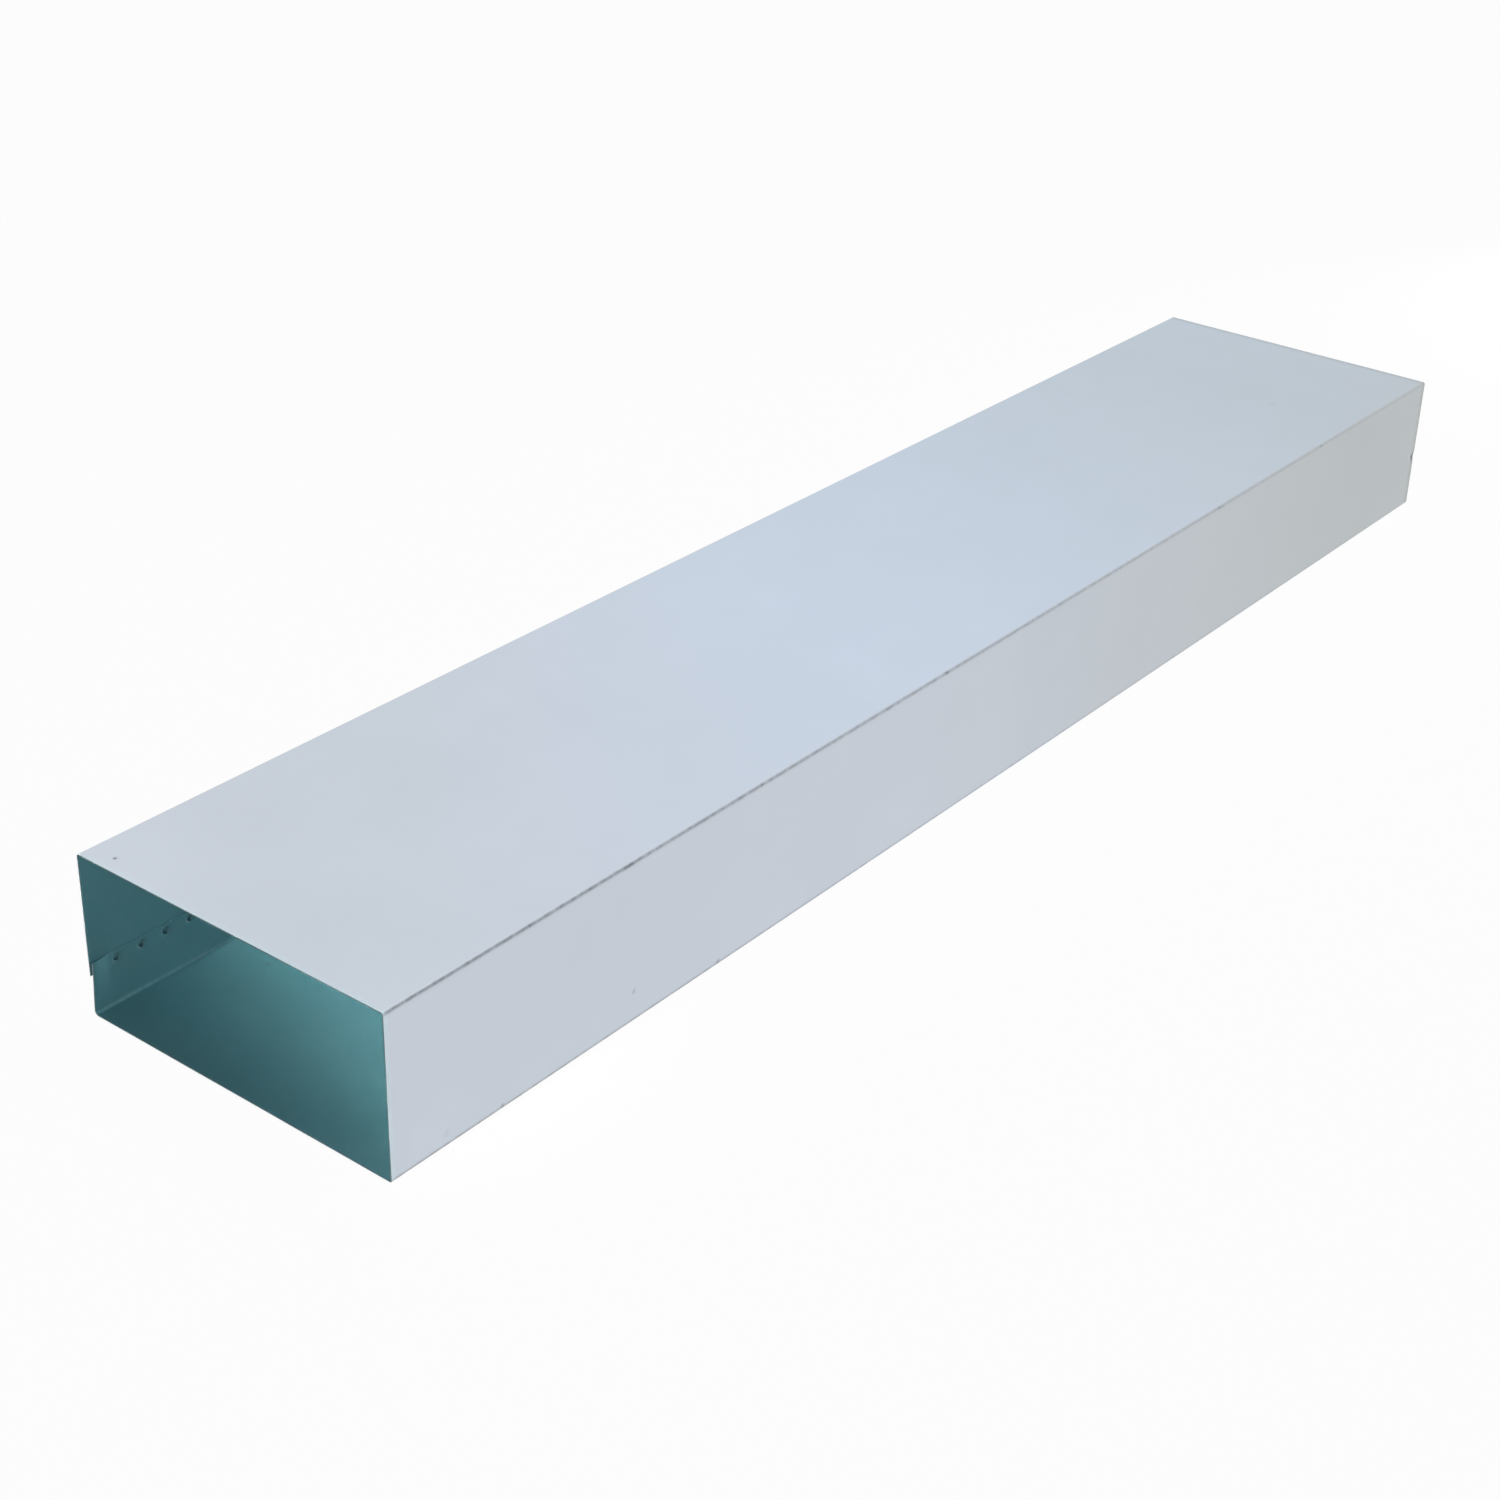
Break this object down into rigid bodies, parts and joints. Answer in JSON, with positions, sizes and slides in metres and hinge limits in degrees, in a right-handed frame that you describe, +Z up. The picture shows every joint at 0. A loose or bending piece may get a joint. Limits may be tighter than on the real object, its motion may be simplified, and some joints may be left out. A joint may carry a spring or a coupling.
{
  "type": "flat channel duct",
  "caption": "Flat rectangular sheet-metal air duct, open at both ends, folded from galvanised sheet and closed by a clinched lap seam along a narrow wall.",
  "frame": {"origin": "middle of the underside", "axes": "+X along the duct, +Y across it towards the wall with the seam, +Z up"},
  "size_m": [1, 0.2009, 0.09],
  "materials": {
    "galvanised_sheet": "smooth satin zinc coating, with a blue-green tinted film on the inside"
  },
  "bodies": {
    "root": {"folded_sheet": "galvanised_sheet"}
  },
  "joints": []
}
